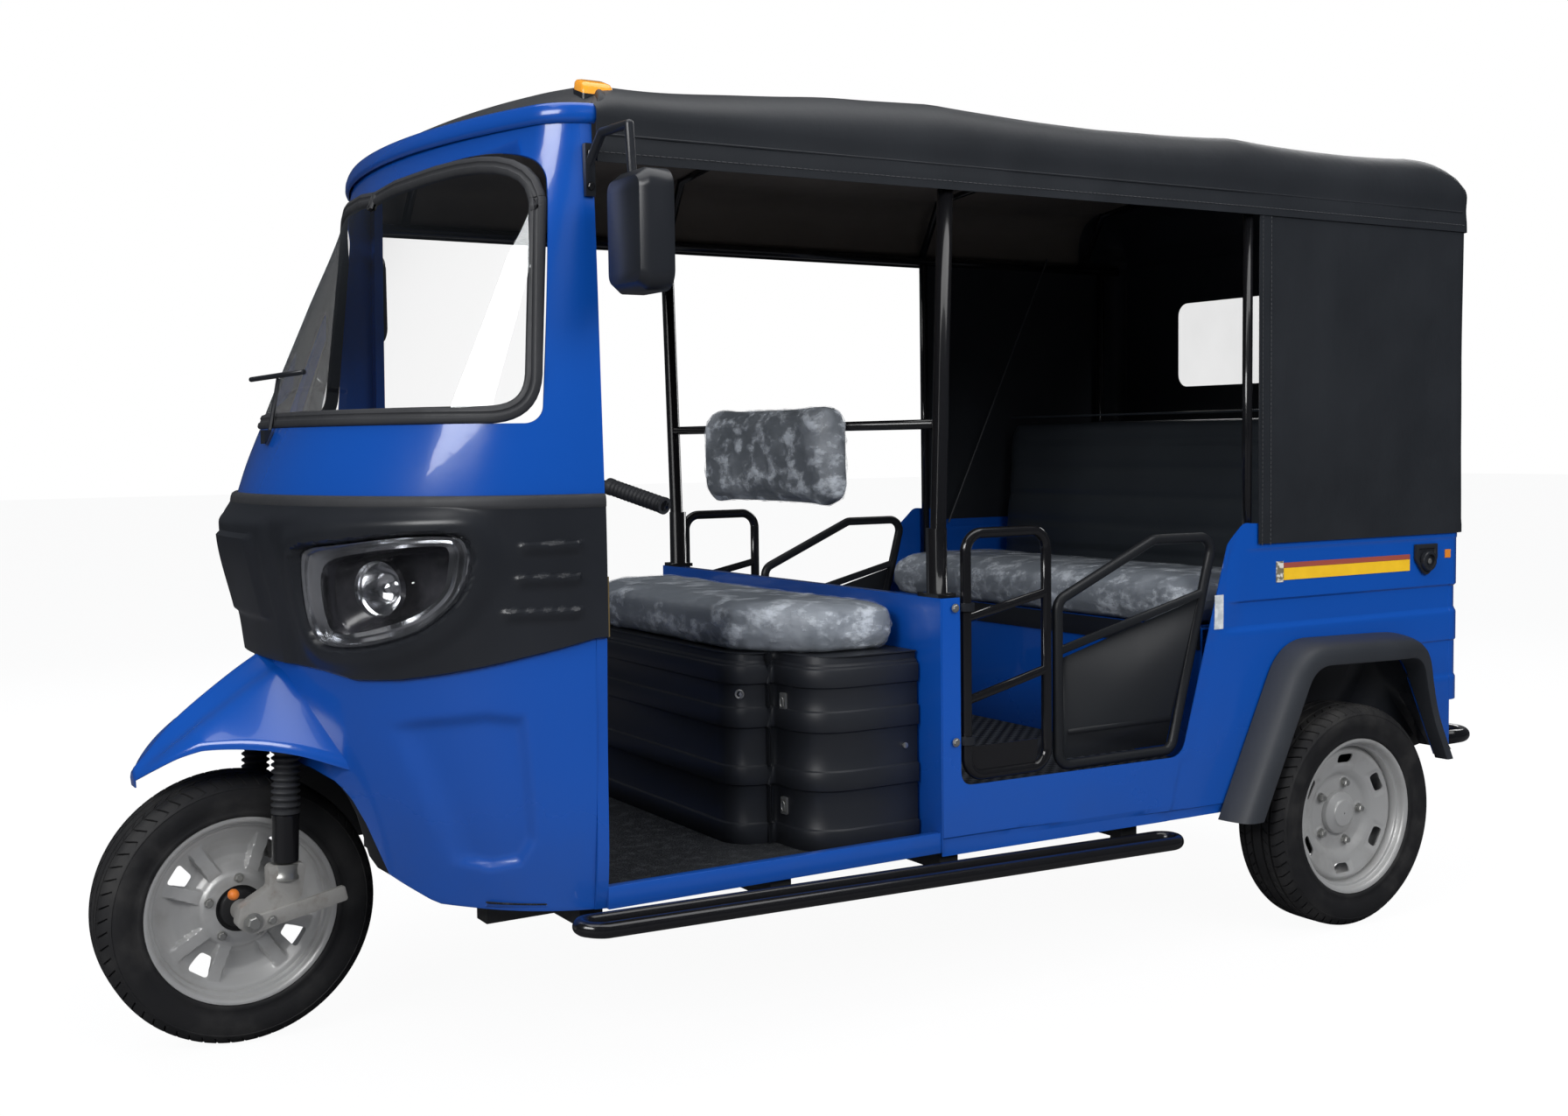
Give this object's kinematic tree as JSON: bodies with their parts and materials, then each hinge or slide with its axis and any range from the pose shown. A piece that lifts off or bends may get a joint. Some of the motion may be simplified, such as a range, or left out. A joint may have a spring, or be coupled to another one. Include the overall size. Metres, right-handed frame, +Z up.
{
  "type": "auto rickshaw",
  "caption": "Three-wheeled passenger auto rickshaw with a closed nose, open doorways, tube gates, rear bench and a fabric canopy on roof bows.",
  "frame": {"origin": "middle of the overall length and width, on the ground under the tyres", "axes": "+X forward, +Y the driver's left, +Z up; the wheels' axles lie along Y"},
  "size_m": [3.191, 1.634, 1.818],
  "materials": {
    "blue_paint": "gloss",
    "black_paint": "satin",
    "black_plastic": "satin moulded",
    "rubber": "matt",
    "tyre": "matt",
    "rim_silver": "satin silver paint",
    "chrome": "polished",
    "clear": "clear",
    "mirror": "mirror",
    "vinyl_black": "grained vinyl",
    "vinyl_grey": "vinyl under clear film",
    "mat": "speckled",
    "red_lens": "gloss",
    "amber_lens": "gloss",
    "bowl": "dark reflector"
  },
  "bodies": {
    "chassis": {"wheel_well": "black_paint", "cab_lower_shell": "blue_paint", "cab_upper_shell": "blue_paint", "door_posts": "blue_paint", "windscreen_seal": "rubber", "windscreen": "clear", "nose_mask": "black_plastic", "headlamp_frames": "chrome", "headlamp_lenses": "clear", "headlamp_bowls": "bowl", "front_fender": "blue_paint", "chassis_rails": "black_paint", "cross_members": "black_paint", "side_steps": "black_paint", "floors": "blue_paint", "floor_mats": "mat", "side_panels": "blue_paint", "rear_panel": "blue_paint", "bulkhead": "blue_paint", "arch_flares": "black_plastic", "driver_seat_box": "black_plastic", "driver_cushion": "vinyl_grey", "driver_backrest": "vinyl_grey", "backrest_bar": "black_paint", "bench_frame": "blue_paint", "bench_cushion": "vinyl_grey", "bench_backrest": "vinyl_grey", "canopy": "vinyl_black", "roof_rails": "black_paint", "roof_bows": "black_paint", "roof_posts": "black_paint", "curtains": "vinyl_black", "rear_window": "clear", "rear_bumper": "black_paint", "tail_lamps": "red_lens", "marker_lamps": "amber_lens", "mirrors": "black_plastic", "mirror_glass": "mirror", "charge_port": "black_plastic", "rear_axle": "black_paint", "side_guards": "black_paint", "wiper": "black_plastic", "dashboard": "black_plastic"},
    "steering": {"steering_column": "black_paint", "fork_legs": "black_paint", "front_axle": "rim_silver", "handlebar": "black_paint", "handle_grips": "rubber"},
    "front_wheel": {"front_rim": "rim_silver", "front_tyre": "tyre"},
    "rear_left_wheel": {"rear_left_rim": "rim_silver", "rear_left_tyre": "tyre"},
    "rear_right_wheel": {"rear_right_rim": "rim_silver", "rear_right_tyre": "tyre"},
    "left_gate_body": {"left_gate": "black_paint"},
    "right_gate_body": {"right_gate": "black_paint"}
  },
  "joints": [
    {"name": "steering_turn", "type": "hinge", "parent": "chassis", "child": "steering", "pos_m": [1.09168, 0, 0.7], "axis": [-0.3746, 0, 0.9272], "range_deg": [-35, 35]},
    {"name": "front_wheel_spin", "type": "hinge", "parent": "steering", "child": "front_wheel", "pos_m": [1.3415, 0, 0.254], "axis": [0, 1, 0], "continuous": true},
    {"name": "rear_left_wheel_spin", "type": "hinge", "parent": "chassis", "child": "rear_left_wheel", "pos_m": [-0.9755, 0.642, 0.254], "axis": [0, 1, 0], "continuous": true},
    {"name": "rear_right_wheel_spin", "type": "hinge", "parent": "chassis", "child": "rear_right_wheel", "pos_m": [-0.9755, -0.642, 0.254], "axis": [0, 1, 0], "continuous": true},
    {"name": "left_gate_swing", "type": "hinge", "parent": "chassis", "child": "left_gate_body", "pos_m": [0.0505, 0.6, 0.69], "axis": [0, 0, -1], "range_deg": [0, 90]},
    {"name": "right_gate_swing", "type": "hinge", "parent": "chassis", "child": "right_gate_body", "pos_m": [0.0505, -0.6, 0.69], "axis": [0, 0, 1], "range_deg": [0, 90]}
  ]
}
